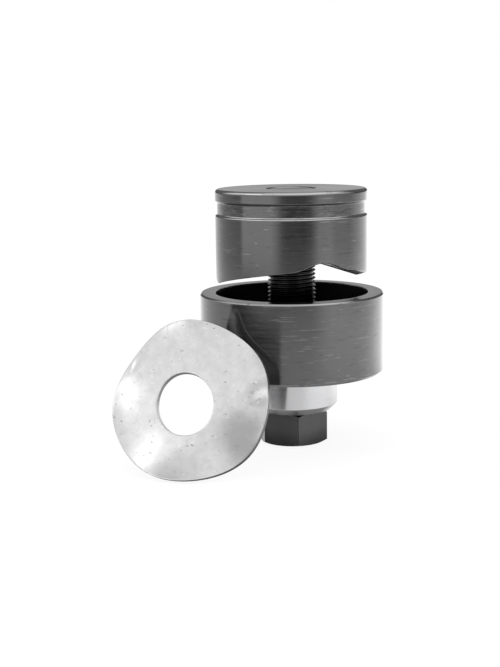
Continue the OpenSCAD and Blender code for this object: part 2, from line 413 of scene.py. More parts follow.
def add_foot_shade_and_oil(w, colour, cloud, top, shade_and_oil_colour):
    """Darkens the foot up to the height top as painted shade, and gathers oil in the bolt's thread."""
    ragged = w.plus(w.z_of(w.place()), w.remap(cloud, 0.3, 0.7, -OIL_AND_SHADE_BLEND, OIL_AND_SHADE_BLEND))
    shade_and_oil = w.math("MAXIMUM", w.remap(ragged, top, 0.0, 0.0, 0.7, smooth=True),
                   w.remap(ragged, OILED_FROM - OIL_AND_SHADE_BLEND, OILED_FROM, 0.0, 0.75, smooth=True))
    return w.mix_colour(shade_and_oil, colour, shade_and_oil_colour)


print("the thread is oily above", OILED_FROM / MM, "mm")


# %% Turned steel
SPECK_SHOW = 0.22                       # how strongly the specks show on turned steel
GROOVE_TOP, GROOVE_WIDTH = 4.7, 5.6     # the punch's groove, from its top down, in mm


def turned_steel(name, dark, light, roughness, rings=9000.0, ring_bump=0.1, streaks=0.5,
                 streak_light=0.25, streak_dark=0.35, bare=0.42, wear=0.6, wear_width=0.00045,
                 anisotropy=0.55, foot_shade_and_oil=0.0, foot_wear=0.0, scuffed=None):
    material, w = new_material(name)
    marks = w.add("ShaderNodeGroup", {"Rings per metre": rings, "Streak share": streaks},
                  node_tree=turning_marks)
    edges = w.add("ShaderNodeGroup", {"Width": wear_width, "Downward": foot_wear},
                  node_tree=worn_edges)
    dots = w.add("ShaderNodeGroup", {"Cells per metre": 420.0, "Share": 0.07, "Size": 0.16},
                 node_tree=specks)
    cloud = w.noise(w.place(), 45.0, 4.0)

    tone = w.plus(w.remap(marks.outputs["Rings"], 0.3, 0.7, 0.0, 0.6),
                  w.remap(cloud, 0.35, 0.65, 0.0, 0.4), clamp=True)
    colour = w.mix_colour(tone, (dark, dark, dark * 1.02, 1), (light, light, light * 1.01, 1))
    bare_steel = grey(bare)
    shade = grey(dark * 0.35)
    rubbed = w.math("MAXIMUM", w.times(marks.outputs["Light streaks"], streak_light),
                    w.times(edges.outputs["Wear"], wear))
    rubbed = w.math("MAXIMUM", rubbed, w.times(dots.outputs["Specks"], SPECK_SHOW))
    colour = w.mix_colour(w.times(marks.outputs["Dark streaks"], streak_dark), colour, shade)
    colour = w.mix_colour(rubbed, colour, bare_steel)
    if scuffed:
        colour = add_rubs(w, colour, cloud, scuffed, bare_steel, shade)
    # Below the height given, the foot is darkened towards the floor as painted shade; above OILED_FROM
    # the thread is darkened by oil.
    if foot_shade_and_oil:
        colour = add_foot_shade_and_oil(w, colour, cloud, foot_shade_and_oil, grey(dark * 0.15))

    grain = w.add("ShaderNodeBump", {"Strength": ring_bump, "Distance": 0.00004,
                                     "Height": marks.outputs["Rings"]})
    rough = w.plus(w.remap(marks.outputs["Rings"], 0.3, 0.7, roughness - 0.04, roughness + 0.05),
                   w.remap(cloud, 0.3, 0.7, -0.02, 0.03), clamp=True)
    shader = w.add("ShaderNodeBsdfPrincipled",
                   {"Base Color": colour, "Roughness": rough, "Normal": grain.outputs[0],
                    "Metallic": 1.0, "Anisotropic": anisotropy, "Anisotropic Rotation": 0.25,
                    "Tangent": w.add("ShaderNodeTangent", direction_type="RADIAL", axis="Z").outputs[0]})
    w.add("ShaderNodeOutputMaterial", {"Surface": shader.outputs[0]})
    return material


groove_walls = (punch_high.z - (GROOVE_TOP + GROOVE_WIDTH) * MM, punch_high.z - GROOVE_TOP * MM)
punch_finish = turned_steel("black oxide, punch", dark=0.10, light=0.14, roughness=0.13,
                            ring_bump=0.05, streaks=0.6, streak_light=0.17, streak_dark=0.42,
                            bare=0.72, wear=0.85, scuffed=groove_walls)
print("finish:", punch_finish.name)

# %% The other turned finishes
die_finish = turned_steel("black oxide, die", dark=0.10, light=0.14, roughness=0.13,
                          ring_bump=0.05, streaks=0.65, streak_light=0.18, streak_dark=0.42,
                          bare=0.6, wear=0.75, anisotropy=0.4, foot_wear=1.0)
# The inside of the die's cup: unpolished oxide, painted nearly black as the shade that falls in the cup.
bore_shade_finish = turned_steel("black oxide, unpolished, in painted shade", dark=0.012, light=0.02, roughness=0.5,
                           streaks=0.2, wear=0.0)
# The bolt's foot is darkened as painted shade up to 9 mm above the floor.
bolt_finish = turned_steel("black oxide, bolt", dark=0.06, light=0.1, roughness=0.22, streaks=0.1,
                           bare=0.3, wear=0.3, anisotropy=0.2, foot_shade_and_oil=0.009)
shell_finish = turned_steel("bright turned steel", dark=0.53, light=0.63, roughness=0.18,
                            rings=7000.0, streaks=0.3, streak_dark=0.2, bare=0.8)
race_finish = turned_steel("ground race steel", dark=0.5, light=0.6, roughness=0.18,
                           ring_bump=0.05, bare=0.7)
ball_finish = turned_steel("polished ball steel", dark=0.6, light=0.68, roughness=0.1,
                           ring_bump=0.01, streaks=0.0, bare=0.7, anisotropy=0.0)
print("finishes:", [m.name for m in (die_finish, bore_shade_finish, bolt_finish, shell_finish, race_finish,
                                     ball_finish)])


# %% [markdown]
# The cage is pressed brass. It sits inside the bearing's shell, but it gets its own warm finish all
# the same, because someone may lift the shell off.

# %% Brass
def pressed_brass():
    material = turned_steel("pressed brass", dark=0.4, light=0.5, roughness=0.3, ring_bump=0.03,
                            anisotropy=0.0)
    tree = material.node_tree
    shader = next(n for n in tree.nodes if n.type == "BSDF_PRINCIPLED")
    w = Wiring(tree)
    steel = shader.inputs["Base Color"].links[0].from_socket
    tint = w.add("ShaderNodeMix", data_type="RGBA", blend_type="MULTIPLY")
    w.feed(tint.inputs["Factor"], 1.0)
    w.feed(tint.inputs[6], steel)
    w.feed(tint.inputs[7], (1.45, 1.05, 0.5, 1))
    w.feed(shader.inputs["Base Color"], tint.outputs[2])
    return material


cage_finish = pressed_brass()
print("finish:", cage_finish.name)

# %% [markdown]
# The slug is a disc of bright zinced sheet. Its faces are nearly mirror-smooth but softened by
# rolling, with specks, short scuffs, shallow dents from handling and small painted glints. Two places
# on the right are darkened as painted shade, and four larger dents lie at the upper left and beside
# the hole. They are shallower than the sheet's own bow, so they are relief in the finish and not in
# the mesh. The sheared edge is different: only a thin burnished band stays bright where the punch
# slid past, and the rest is torn and dull. The piece carries an attribute that says how far through
# the sheet a point is, and the finish reads it.

# %% Places darkened as painted shade, and dents
# Each place darkened as painted shade is (middle, reach, amount), and the lengths are in metres.
SHADED_PLACES = [((-0.0165, -0.0545, 0.0145), 0.0145, 0.75), ((-0.0115, -0.0495, 0.0290), 0.0080, 0.55)]
# Each dent is (middle, the way it lies, half its length, half its width, depth), in metres.
DENTS = [((-0.0585, -0.0305, 0.0383), (0.0029, 0.0025, 0.0057), 0.0058, 0.0026, 0.00038),
         ((-0.0139, -0.0470, 0.0333), (1.0, -0.2, -0.1), 0.0012, 0.0008, 0.00014),
         ((-0.0146, -0.0490, 0.0301), (1.0, -0.2, 0.1), 0.0016, 0.0006, 0.00012),
         ((-0.0124, -0.0514, 0.0276), (0.2, -0.5, 1.0), 0.0012, 0.0006, 0.00012)]
SHEET_FACES = Vector((-0.40, -0.75, 0.52))      # the way the leaning sheet faces
DENT_REACH = 0.0015                     # how far a dent reaches into the sheet
RELIEF_HEIGHT, RELIEF_STRENGTH = 0.0004, 0.6
SHADE_WANDER = 0.012                    # how far the outline of a place in painted shade wanders


def painted_shade_places(w, cloud):
    painted_shade = 0.0
    for middle, reach, amount in SHADED_PLACES:
        shade_spot = w.add("ShaderNodeMapping", {"Vector": w.place(), "Location": middle},
                      vector_type="TEXTURE")
        wander = w.times(w.math("SUBTRACT", cloud, 0.5), SHADE_WANDER)
        away = w.plus(w.length(shade_spot.outputs[0]), wander)
        painted_shade = w.math("MAXIMUM", painted_shade, w.remap(away, reach, reach * 0.2, 0.0, amount, smooth=True))
    return painted_shade


def press_dents(w, relief):
    for middle, lie, length, width, deep in DENTS:
        along = Vector(lie).normalized()
        side = along.cross(SHEET_FACES).normalized()
        turn = Matrix((along, side, along.cross(side))).transposed().to_euler()
        dent = w.add("ShaderNodeMapping", {"Vector": w.place(), "Location": middle, "Rotation": turn,
                                           "Scale": (length, width, DENT_REACH)}, vector_type="TEXTURE")
        drop = -deep / RELIEF_HEIGHT / RELIEF_STRENGTH
        relief = w.plus(relief, w.remap(w.length(dent.outputs[0]), 1.0, 0.0, 0.0, drop, smooth=True))
    return relief


print("dull places:", len(SHADED_PLACES), "dents:", len(DENTS))


# %% Bright sheet
# Where the cut edge and its bands start and end, in shares of the sheet's depth.
EDGE_START, EDGE_END, BURNISHED_TO, TORN_FROM = 0.04, 0.995, 0.08, 0.16


def bright_sheet():
    material, w = new_material("bright sheet")
    place = w.place()
    cloud = w.noise(place, 38.0, 5.0, 0.55)
    stretched = w.add("ShaderNodeMapping", {"Vector": place, "Scale": (900.0, 900.0, 90.0),
                                            "Rotation": (0.4, 0.9, 0.2)})
    scuff = w.remap(w.noise(stretched.outputs[0], 1.0, 2.0), 0.68, 0.74, smooth=True)
    dark_dots, small_dots, glint_dots = [
        w.add("ShaderNodeGroup", {"Cells per metre": cells, "Share": share, "Size": size},
              node_tree=specks).outputs["Specks"]
        for cells, share, size in ((430.0, 0.3, 0.22), (1100.0, 0.12, 0.28), (450.0, 0.16, 0.26))]

    depth = w.add("ShaderNodeAttribute", attribute_name="sheet_depth").outputs["Fac"]
    edge = w.times(w.math("GREATER_THAN", depth, EDGE_START), w.math("LESS_THAN", depth, EDGE_END))
    torn = w.times(edge, w.remap(depth, BURNISHED_TO, TORN_FROM, smooth=True))

    mottle = w.noise(place, 260.0, 5.0, 0.6)
    tone = w.plus(w.remap(cloud, 0.35, 0.65, 0.0, 0.45), w.remap(mottle, 0.3, 0.7, 0.0, 0.55))
    colour = w.mix_colour(tone, (0.68, 0.68, 0.69, 1), (0.9, 0.9, 0.905, 1))
    # The near-white dots are painted glints of small dents; the dark and small dots are specks.
    for mark, show, tint in ((scuff, 0.25, (0.5, 0.5, 0.51, 1)), (dark_dots, 0.75, grey(0.3)),
                             (small_dots, 0.5, (0.4, 0.39, 0.38, 1)), (glint_dots, 0.9, grey(0.97))):
        colour = w.mix_colour(w.times(mark, show), colour, tint)
    # Two places on the right are darkened: painted shade.
    colour = w.mix_colour(painted_shade_places(w, cloud), colour, (0.38, 0.38, 0.385, 1))
    colour = w.mix_colour(w.times(torn, 0.85), colour, (0.16, 0.16, 0.165, 1))

    rough = w.plus(w.remap(cloud, 0.3, 0.7, 0.17, 0.26), w.times(torn, 0.3))
    rough = w.plus(rough, w.times(scuff, 0.12), clamp=True)
    ripple = w.noise(place, 60.0, 1.0)
    relief = w.plus(w.plus(ripple, w.times(scuff, -0.04)), w.times(dark_dots, -0.05))
    relief = press_dents(w, relief)
    bump = w.add("ShaderNodeBump", {"Strength": RELIEF_STRENGTH, "Distance": RELIEF_HEIGHT,
                                    "Height": relief})
    shader = w.add("ShaderNodeBsdfPrincipled",
                   {"Base Color": colour, "Roughness": rough, "Normal": bump.outputs[0],
                    "Metallic": 1.0})
    w.add("ShaderNodeOutputMaterial", {"Surface": shader.outputs[0]})
    return material


sheet_finish = bright_sheet()
print("finish:", sheet_finish.name)

# %% [markdown]
# ## The die
#
# The die is a cup. The sheet lies on its flat rim, the punch comes down through the mouth, and slugs
# collect inside. It is one ring outline: up the outside, over the rim, down the bore to the floor and
# in to the bolt's hole. The small chamfers at the rim, mouth and foot are drawn in the outline, and a
# bevel modifier then rounds what is left sharp by a tenth of a millimetre, which is what catches the
# light on a real edge.

# %% Turn the die
FOOT_CHAMFER, RIM_CHAMFER, MOUTH_CHAMFER = 1.0, 0.6, 0.2
CAVITY_DEPTH = 22.0
RUNNING_GAP = 0.4                       # between punch and die, all round
BOLT_GAP = 0.45                         # between bolt and the holes that it passes

bolt_radius = 9.525                     # half of three quarters of an inch
punch_radius = punch_high.x / MM
die_radius = die_high.x / MM
die_bottom, die_rim = die_low.z / MM, die_high.z / MM
mouth_radius = punch_radius + RUNNING_GAP
hole_radius = bolt_radius + BOLT_GAP
die_outline = [
    (hole_radius, die_bottom), (die_radius - FOOT_CHAMFER, die_bottom),
    (die_radius, die_bottom + FOOT_CHAMFER), (die_radius, die_rim - RIM_CHAMFER),
    (die_radius - RIM_CHAMFER, die_rim), (mouth_radius + MOUTH_CHAMFER, die_rim),
    (mouth_radius, die_rim - MOUTH_CHAMFER), (mouth_radius, die_rim - CAVITY_DEPTH),
    (hole_radius, die_rim - CAVITY_DEPTH), (hole_radius, die_bottom)]
die = turn_on_lathe("die_cup", die_outline)
break_edges(die, width=0.12)
finish_piece(die, "die", "die_unit", die_finish)

# %% Leave the inside of the cup unpolished, and paint it nearly black as shade
die.data.materials.append(bore_shade_finish)
inside = 0
for face in die.data.polygons:
    spot = face.center / MM
    if math.hypot(spot.x, spot.y) < mouth_radius + 0.01 and die_bottom + 1 < spot.z < die_rim - 0.4:
        face.material_index = 1
        inside += 1
print("faces unpolished, in painted shade:", inside)

# %% [markdown]
# ## The punch
#
# The punch is turned first, with a rounded top edge, a shallow groove and a countersunk bore. Its
# underside is then ground to a wave with two cutting points, so that it shears the sheet bit by bit.
# Between the points the edge rises like a slow arch to a small rounded notch. No bending operator
# makes that shape, so the wave is written as a rule for the height at each azimuth, and a Displace
# modifier raises the underside's points by it, in a weight group.

# %% Turn the punch
TOP_ROUND = 1.4
GROOVE_DEPTH, GROOVE_SLOPE = 0.8, 0.35
RING_BELOW_GROOVE = 4.0                 # a ring of points that keeps the wave out of the groove
COUNTERSINK_RADIUS = 10.4
THREAD_PLAY = 0.05
PUNCH_HEIGHT = 36.6
HUB_RISE = 10.1                         # the hollow underside at the bore, above the points

punch_top = punch_high.z / MM
points_height = punch_top - PUNCH_HEIGHT
bore_radius = bolt_radius + THREAD_PLAY
groove_z = punch_top - GROOVE_TOP
groove_foot = groove_z - GROOVE_WIDTH
groove_radius = punch_radius - GROOVE_DEPTH
underside = [(bore_radius + (punch_radius - bore_radius) * i / 6, points_height) for i in range(7)]
top_round = [(punch_radius - TOP_ROUND * (1 - math.cos(math.radians(t))),
              punch_top - TOP_ROUND * (1 - math.sin(math.radians(t)))) for t in range(0, 91, 10)]
punch_outline = underside + [
    (punch_radius, groove_foot - RING_BELOW_GROOVE), (punch_radius, groove_foot),
    (groove_radius, groove_foot + GROOVE_SLOPE), (groove_radius, groove_z - GROOVE_SLOPE),
    (punch_radius, groove_z)] + top_round + [
    (COUNTERSINK_RADIUS, punch_top), (bore_radius, punch_top - (COUNTERSINK_RADIUS - bore_radius)),
    (bore_radius, points_height)]
punch = turn_on_lathe("punch_body", punch_outline, steps=288)

# %% Grind the wave
SHEAR_RISE, NOTCH_RISE, NOTCH_HALF = 6.7, 3.0, 24.0
LEFT_POINT, RIGHT_POINT, VALLEY = -74.0, 118.0, 24.0


def edge_rise(azimuth):
    """Height of the shear edge above the cutting points. Azimuth 0 is the front, 90 the right."""
    a = azimuth
    if LEFT_POINT <= a <= RIGHT_POINT:
        valley, ends = VALLEY, (LEFT_POINT, RIGHT_POINT)
    else:
        a = a + 360 if a < LEFT_POINT else a
        valley, ends = VALLEY + 180, (RIGHT_POINT, LEFT_POINT + 360)
    point = ends[0] if a < valley else ends[1]
    rise = SHEAR_RISE * math.sin(math.radians(90 * abs(a - point) / abs(valley - point)))
    away = abs(a - valley)
    if away < NOTCH_HALF:
        rise += NOTCH_RISE * (1 + math.cos(math.radians(180 * away / NOTCH_HALF))) / 2
    return rise


def underside_rise(point):
    """How far a point of the flat underside is raised; a point higher up the punch stays."""
    if point.z > points_height + 0.5:
        return 0.0
    radius = math.hypot(point.x, point.y)
    azimuth = math.degrees(math.atan2(point.x, -point.y))
    return HUB_RISE + (edge_rise(azimuth) - HUB_RISE) * radius / punch_radius


raise_points(punch, underside_rise)
break_edges(punch, width=0.4, segments=4, angle=25)
finish_piece(punch, "punch", "punch_unit", punch_finish)
print("edge rise at the valley:", round(edge_rise(VALLEY), 2), "mm")

# %% [markdown]
# ## The draw bolt
#
# The bolt is made of three solids in one mesh: the hex head, the plain shank and the thread. The head
# starts as a six-sided cylinder, and a turned blank with sloping ends is intersected with it, which
# is exactly how a real head gets its curved bevels. For the thread, one tooth is drawn as a chain of
# points one pitch long and a Screw modifier winds it up the bolt. The winding is cut square at both
# ends, and a turned blank with a chamfered end trims it.

# %% Helpers for solids that trim each other
def trim_to(piece, blank):
    """Keeps only what piece and blank share, and removes the blank."""
    use_modifier(piece, "BOOLEAN", operation="INTERSECT", object=blank, solver="EXACT")
    bpy.data.objects.remove(blank)


def join(pieces):
    nothing_selected()
    for piece in pieces:
        piece.select_set(True)
    bpy.context.view_layer.objects.active = pieces[0]
    bpy.ops.object.join()
    return pieces[0]


print("bolt helpers are ready")

# %% The hex head
HEX_HEIGHT, HEX_ACROSS_FLATS, HEX_AZIMUTH, HEX_BEVEL = 13.1, 25.4, 10.0, 1.1
corner_radius = HEX_ACROSS_FLATS / math.sqrt(3)
nothing_selected()
bpy.ops.mesh.primitive_cylinder_add(vertices=6, radius=corner_radius * MM, depth=HEX_HEIGHT * MM,
                                    location=(0, 0, HEX_HEIGHT / 2 * MM),
                                    rotation=(0, 0, math.radians(HEX_AZIMUTH)))
hex_head = bpy.context.active_object
hex_head.name = "draw_bolt_with_head"
bpy.ops.object.transform_apply(location=True, rotation=True, scale=True)
bevel_in = HEX_BEVEL * math.tan(math.radians(60))     # the bevel slopes by 30 degrees
blank = turn_on_lathe("hex_blank", [
    (0, 0), (corner_radius - bevel_in, 0), (corner_radius, HEX_BEVEL),
    (corner_radius, HEX_HEIGHT - HEX_BEVEL), (corner_radius - bevel_in, HEX_HEIGHT), (0, HEX_HEIGHT)])
trim_to(hex_head, blank)
break_edges(hex_head, width=0.22, angle=20)
corner = min(hex_head.data.vertices, key=lambda v: v.co.y).co
print("front hex corner at azimuth", round(math.degrees(math.atan2(corner.x, -corner.y)), 1))

# %% The thread
PITCH, THREAD_LENGTH, END_CHAMFER = 1.5875, 56.0, 1.3
THREAD_DEPTH = 0.6134                   # of the pitch, on a 60 degree thread
TAPER_IN, TRIM_ROOM, BELOW_ROOT = 1.2, 0.2, 0.05
bolt_end = bolt_high.z / MM
thread_start = bolt_end - THREAD_LENGTH
root_radius = bolt_radius - THREAD_DEPTH * PITCH
# Each point of the tooth is (radius, share of the pitch), and the winding starts two pitches low.
tooth = [(bolt_radius, 0.0), (bolt_radius, 0.125), (root_radius, 0.4375), (root_radius, 0.6875),
         (bolt_radius, 1.0)]
first_foot = thread_start - 2 * PITCH
thread = draw_chain("thread", [(radius, first_foot + share * PITCH) for radius, share in tooth])
bpy.ops.object.mode_set(mode="OBJECT")
turns = math.ceil(THREAD_LENGTH / PITCH) + 4
use_modifier(thread, "SCREW", angle=2 * math.pi, screw_offset=PITCH * MM, iterations=turns,
             steps=72, render_steps=72, use_merge_vertices=True, merge_threshold=1e-6)
only(thread)
bpy.ops.object.mode_set(mode="EDIT")
for cut_height, outward in ((thread_start - PITCH * 0.5, -1), (bolt_end + PITCH * 0.5, 1)):
    merge_doubles(1e-6)
    bpy.ops.mesh.select_all(action="SELECT")
    bpy.ops.mesh.bisect(plane_co=(0, 0, cut_height * MM), plane_no=(0, 0, outward),
                        use_fill=True, clear_outer=True)
face_outwards()
bpy.ops.object.mode_set(mode="OBJECT")
blank = turn_on_lathe("thread_blank", [
    (0, thread_start), (root_radius - BELOW_ROOT, thread_start),
    (bolt_radius + TRIM_ROOM, thread_start + TAPER_IN),
    (bolt_radius + TRIM_ROOM, bolt_end - END_CHAMFER - TRIM_ROOM),
    (bolt_radius - END_CHAMFER, bolt_end), (0, bolt_end)], steps=96)
trim_to(thread, blank)
print("thread:", turns, "turns wound,", len(thread.data.polygons), "faces")

# %% The shank, and all three together
SHANK_TAPER, ABOVE_ROOT = 0.8, 0.02
shank = turn_on_lathe("shank", [
    (0, HEX_HEIGHT), (bolt_radius, HEX_HEIGHT), (bolt_radius, thread_start - SHANK_TAPER),
    (root_radius + ABOVE_ROOT, thread_start), (0, thread_start)], steps=96)
draw_bolt = join([hex_head, thread, shank])
finish_piece(draw_bolt, "draw_bolt", "bolt_unit", bolt_finish)

# %% [markdown]
# ## The bearing
#
# The bearing lets the hex head turn under load without dragging on the die. Its shell is a bright
# turned cup with a generous chamfer below, and holds the lower race. The races, the cage and the
# balls are hidden in it. Their frame shapes are already true, so they stay and only get finishes.

# %% Turn the bearing's shell
SHELL_WALL, SHELL_CHAMFER, LIP_CHAMFER = 1.7, 2.7, 0.3
shell_radius = shell_high.x / MM
shell_bottom, shell_top = shell_low.z / MM, shell_high.z / MM
shell_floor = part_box("bearing_lower_race")[0].z / MM
shell = turn_on_lathe("bearing_cup", [
    (hole_radius, shell_bottom), (shell_radius - SHELL_CHAMFER, shell_bottom),
    (shell_radius, shell_bottom + SHELL_CHAMFER), (shell_radius, shell_top - LIP_CHAMFER),
    (shell_radius - LIP_CHAMFER, shell_top), (shell_radius - SHELL_WALL, shell_top),
    (shell_radius - SHELL_WALL, shell_floor), (hole_radius, shell_floor),
    (hole_radius, shell_bottom)])
break_edges(shell, width=0.25, segments=4)
finish_piece(shell, "bearing_shell", "bolt_unit", shell_finish)

for node_name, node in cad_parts.items():
    finish = (ball_finish if "ball_" in node_name else race_finish if "race" in node_name
              else cage_finish if "cage" in node_name else None)
    if finish:
        node.data.materials.clear()
        node.data.materials.append(finish)
print("bearing finished")

# %% [markdown]
# ## The slug
#
# The slug is the disc that was cut out. The wavy punch pressed on it unevenly, so it is bowed like a
# saddle, and its rim is curled and a little wavy too. It starts as two circles, the rim and the pilot
# hole, bridged by rings of faces and extruded to the sheet's thickness. The draw bolt's thread has
# pulled the pilot hole slightly oval. The bow is a rule again, because a Bend only curves one way.
# Then the disc is stood up, leaned back, and set exactly where its solid lies in the frame.

# %% Cut the disc
SHEET = 3.0
HOLE_RADIUS, HOLE_OVAL, HOLE_TURN, HOLE_AT = 11.4, 0.05, 68.0, (-1.5, -1.2)
HOLE_WALL_DEPTH = 0.12                  # the hole's wall is finished as this share of the depth
WALL_REACH, FACE_MARGIN = 0.7, 0.2      # what counts as the hole's wall
RIM_POINTS, FACE_RINGS = 216, 20
nothing_selected()
bpy.ops.mesh.primitive_circle_add(vertices=RIM_POINTS, radius=mouth_radius * MM, location=(0, 0, 0))
slug = bpy.context.active_object
slug.name = slug.data.name = "slug_disc"
bpy.ops.object.mode_set(mode="EDIT")
bpy.ops.mesh.primitive_circle_add(vertices=RIM_POINTS, radius=HOLE_RADIUS * MM, location=(0, 0, 0))
hole_turn = math.radians(HOLE_TURN)
for stretch, way in ((1 + HOLE_OVAL, hole_turn), (1 - HOLE_OVAL, hole_turn + math.pi / 2)):
    bpy.ops.transform.resize(value=(stretch, 1, 1), center_override=(0, 0, 0),
                             orient_matrix=Matrix.Rotation(way, 3, "Z").transposed(),
                             orient_matrix_type="GLOBAL", orient_type="GLOBAL")
bpy.ops.transform.translate(value=(HOLE_AT[0] * MM, HOLE_AT[1] * MM, 0))
bpy.ops.mesh.select_all(action="SELECT")
bpy.ops.mesh.bridge_edge_loops(number_cuts=FACE_RINGS, interpolation="LINEAR")
face_outwards()
bpy.ops.mesh.extrude_region_move(TRANSFORM_OT_translate={"value": (0, 0, -SHEET * MM)})
face_outwards()
bpy.ops.object.mode_set(mode="OBJECT")
break_edges(slug, width=0.3, segments=3, angle=60)
heights = [v.co.z / MM for v in slug.data.vertices]
depth = slug.data.attributes.new("sheet_depth", "FLOAT", "POINT")
for i, vertex in enumerate(slug.data.vertices):
    from_middle = math.hypot(vertex.co.x / MM - HOLE_AT[0], vertex.co.y / MM - HOLE_AT[1])
    from_hole = from_middle - HOLE_RADIUS
    in_wall = from_hole < WALL_REACH and -SHEET + FACE_MARGIN < heights[i] < -FACE_MARGIN
    depth.data[i].value = HOLE_WALL_DEPTH if in_wall else -heights[i] / SHEET
print("disc:", len(slug.data.polygons), "faces,", round(max(heights) - min(heights), 2), "mm thick")

# %% Bow it, lean it back and put it in place
# Each bend is (height at the rim in mm, power of the radius, waves round the rim, turn in degrees).
BENDS = [(2.6, 2, 2, 89.0), (2.3, 3, 1, 274.0), (1.5, 3, 3, 114.0), (2.5, 4, 4, 5.0)]
TURN, LEAN = math.radians(13.5), math.radians(24.3)


def bow(point):
    share = math.hypot(point.x, point.y) / mouth_radius
    turn = math.atan2(point.y, point.x)
    return sum(rise * share ** power * math.cos(waves * (turn - math.radians(start)))
               for rise, power, waves, start in BENDS)


raise_points(slug, bow)
across = Vector((math.cos(TURN), -math.sin(TURN), 0))
up = Vector((math.sin(TURN) * math.sin(LEAN), math.cos(TURN) * math.sin(LEAN), math.cos(LEAN)))
out = across.cross(up)
slug.matrix_world = Matrix((across, up, out)).transposed().to_4x4()
only(slug)
bpy.ops.object.transform_apply(location=True, rotation=True, scale=True)
corners = [Vector(c) for c in slug.bound_box]
middle = (Vector(map(min, *corners)) + Vector(map(max, *corners))) / 2
slug.location = (slug_low + slug_high) / 2 - middle
finish_piece(slug, "slug", "slug_unit", sheet_finish)
print("slug stands at height", round(min(v.co.z for v in slug.data.vertices) / MM, 2), "mm")

# %% [markdown]
# ## Floor, light and camera
#
# The tool stands on a plain white floor in a round light tent. A dark, glossy cylinder shows nothing
# but what stands round it, so its look is made by the tent: a bright back wall gives bright outlines,
# and panels of different brightness give tall vertical bands. The tent is one sphere whose glow is set
# in rows by elevation, from the shaded table up to the roof, and along each row by azimuth. Dark cards,
# a small panel and a slanting window are laid over the rows. Only glossy rays see the tent, so it
# lights reflections and nothing else, and the floor is left out of the reflections to keep the bands
# clean.

# %% The floor
FLOOR_GLOW, GLOW_SHARE = 1.03, 0.88     # the paper glows a little, so that it stays white
nothing_selected()
bpy.ops.mesh.primitive_circle_add(vertices=96, radius=6.0, fill_type="NGON", location=(0, 0, -0.0002))
floor = bpy.context.active_object
floor.name = "floor"
floor.visible_glossy = False
white, w = new_material("white floor")
paper = w.add("ShaderNodeBsdfDiffuse", {"Color": grey(0.9)})
glow = w.add("ShaderNodeEmission", {"Color": grey(1), "Strength": FLOOR_GLOW})
w.add("ShaderNodeOutputMaterial", {"Surface": w.add(
    "ShaderNodeMixShader", {"Fac": GLOW_SHARE, 1: paper.outputs[0], 2: glow.outputs[0]}).outputs[0]})
floor.data.materials.append(white)
print("floor:", [round(v, 1) for v in floor.dimensions], "m")

# %% The rows of the light tent
# Each row is (azimuth, glow): azimuth 0 is the camera's side and 90 the right.
TABLE_ROW = [(-180, 0.8), (-165, 0.15), (-85, 0.15), (-65, 0.87), (180, 0.8)]
FOOT_ROW = [(-180, 0.9), (-110, 0.8), (-80, 0.7), (-40, 0.66), (0, 0.88), (30, 0.92), (60, 1.05),
            (84, 1.15), (110, 0.95), (150, 1.05), (180, 0.9)]
LOWER_ROW = [(-180, 1.2), (-150, 1.45), (-110, 1.25), (-76, 1.2), (-40, 1.0), (0, 1.1), (20, 1.15),
             (34, 1.3), (48, 1.6), (84, 1.62), (104, 1.95), (125, 2.3), (150, 2.0), (180, 1.2)]
LOW_ROW = [(-180, 1.2), (-150, 1.45), (-110, 1.25), (-95, 1.15), (-76, 1.2), (-40, 0.9),
           (-24, 0.8), (0, 0.85), (24, 0.9), (34, 1.2), (48, 1.5), (84, 1.45), (104, 1.75), (125, 2.2),
           (150, 1.95), (180, 1.2)]
HIGH_ROW = [(-180, 1.0), (-140, 1.0), (-118, 0.75), (-80, 0.58), (-75, 1.45), (-30, 1.45),
            (-22, 1.05), (-13, 0.4), (-6, 0.24), (18, 0.2), (29, 0.38), (41, 1.2), (58, 1.3),
            (68, 1.0), (96, 0.95), (112, 1.3), (130, 1.5), (160, 1.6), (180, 1.0)]
UPPER_ROW = [(-180, 0.48), (-173, 0.48), (-167, 0.12), (-130, 0.14), (-108, 0.85), (-80, 0.88),
             (-30, 0.83), (0, 0.85), (30, 0.87), (60, 0.7), (92, 0.6), (112, 0.12), (167, 0.12),
             (173, 0.48), (180, 0.48)]
TOP_ROW = [(-180, 0.1), (-150, 0.04), (-108, 0.5), (-92, 0.64), (-70, 0.68), (-40, 0.78), (0, 0.86),
           (40, 0.9), (60, 0.95), (98, 0.95), (128, 0.7), (150, 0.25), (180, 0.2)]
# Each row rises over the one below it between two elevations, in degrees.
ROWS = [(FOOT_ROW, -26.0, -19.0), (LOWER_ROW, -14.5, -12.6), (LOW_ROW, -11.6, -8.6),
        (HIGH_ROW, -7.5, -3.5), (UPPER_ROW, 2.5, 6.0), (TOP_ROW, 42.0, 58.0)]
print("rows above the table:", len(ROWS))

# %% The light tent
ROOF_GLOW, SHADOW_GLOW, BRIGHTEST = 0.72, 0.3, 2.5
TENT_RADIUS = 0.6
LIGHT_CENTRE = Vector((0, 0, 0.05))     # the tent and the lights are set round this point
nothing_selected()
bpy.ops.mesh.primitive_uv_sphere_add(segments=96, ring_count=48, radius=TENT_RADIUS,
                                     location=LIGHT_CENTRE)
tent = bpy.context.active_object
tent.name = "light_tent"
tent.visible_camera = tent.visible_diffuse = tent.visible_shadow = False
panels, w = new_material("tent panels")
axes = w.add("ShaderNodeSeparateXYZ", {"Vector": w.place()})
to_front = w.times(axes.outputs[1], -1.0)
azimuth = w.times(w.math("ARCTAN2", axes.outputs[0], to_front), 180 / math.pi)
round_about = w.remap(azimuth, -180.0, 180.0)
elevation = w.times(w.math("ARCSINE", w.math("DIVIDE", axes.outputs[2], TENT_RADIUS)), 180 / math.pi)


def glow_colour(level):
    return grey(level / BRIGHTEST)


